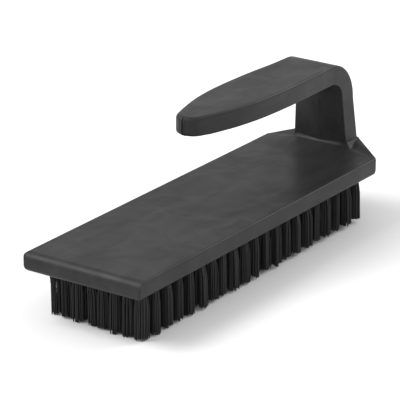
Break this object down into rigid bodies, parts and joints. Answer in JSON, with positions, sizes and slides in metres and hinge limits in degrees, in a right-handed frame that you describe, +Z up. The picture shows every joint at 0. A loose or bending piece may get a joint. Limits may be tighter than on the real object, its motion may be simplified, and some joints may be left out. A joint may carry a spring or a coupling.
{
  "type": "wheel brush",
  "caption": "Rectangular hand brush for car wheels: a one-piece plastic block with an open-ended iron-style handle and rows of black bristle tufts below.",
  "frame": {"origin": "on the surface that the tuft tips stand on, under the middle of the overall length and width", "axes": "+X runs along the block from its free front end to the post that carries the handle, +Z up, and the brush is symmetrical about Y = 0"},
  "size_m": [0.222, 0.0694, 0.086],
  "materials": {
    "body_plastic": "injection-moulded black polypropylene, satin, with faint flow marks along the block and grip",
    "bristle": "black nylon filament, slightly glossy along its length, cut square at the tips",
    "anchor_wire": "galvanised flat wire, hidden in the tuft holes"
  },
  "bodies": {
    "root": {"brush_body": "body_plastic", "tuft_row_01": "bristle", "tuft_row_02": "bristle", "tuft_row_03": "bristle", "tuft_row_04": "bristle", "tuft_row_05": "bristle", "tuft_row_06": "bristle", "tuft_row_07": "bristle", "tuft_row_08": "bristle", "tuft_row_09": "bristle", "tuft_row_10": "bristle", "tuft_row_11": "bristle", "tuft_row_12": "bristle", "tuft_row_13": "bristle", "tuft_row_14": "bristle", "tuft_row_15": "bristle", "tuft_row_16": "bristle", "tuft_row_17": "bristle", "tuft_row_18": "bristle", "tuft_row_19": "bristle", "tuft_row_20": "bristle", "tuft_row_21": "bristle"}
  },
  "joints": []
}
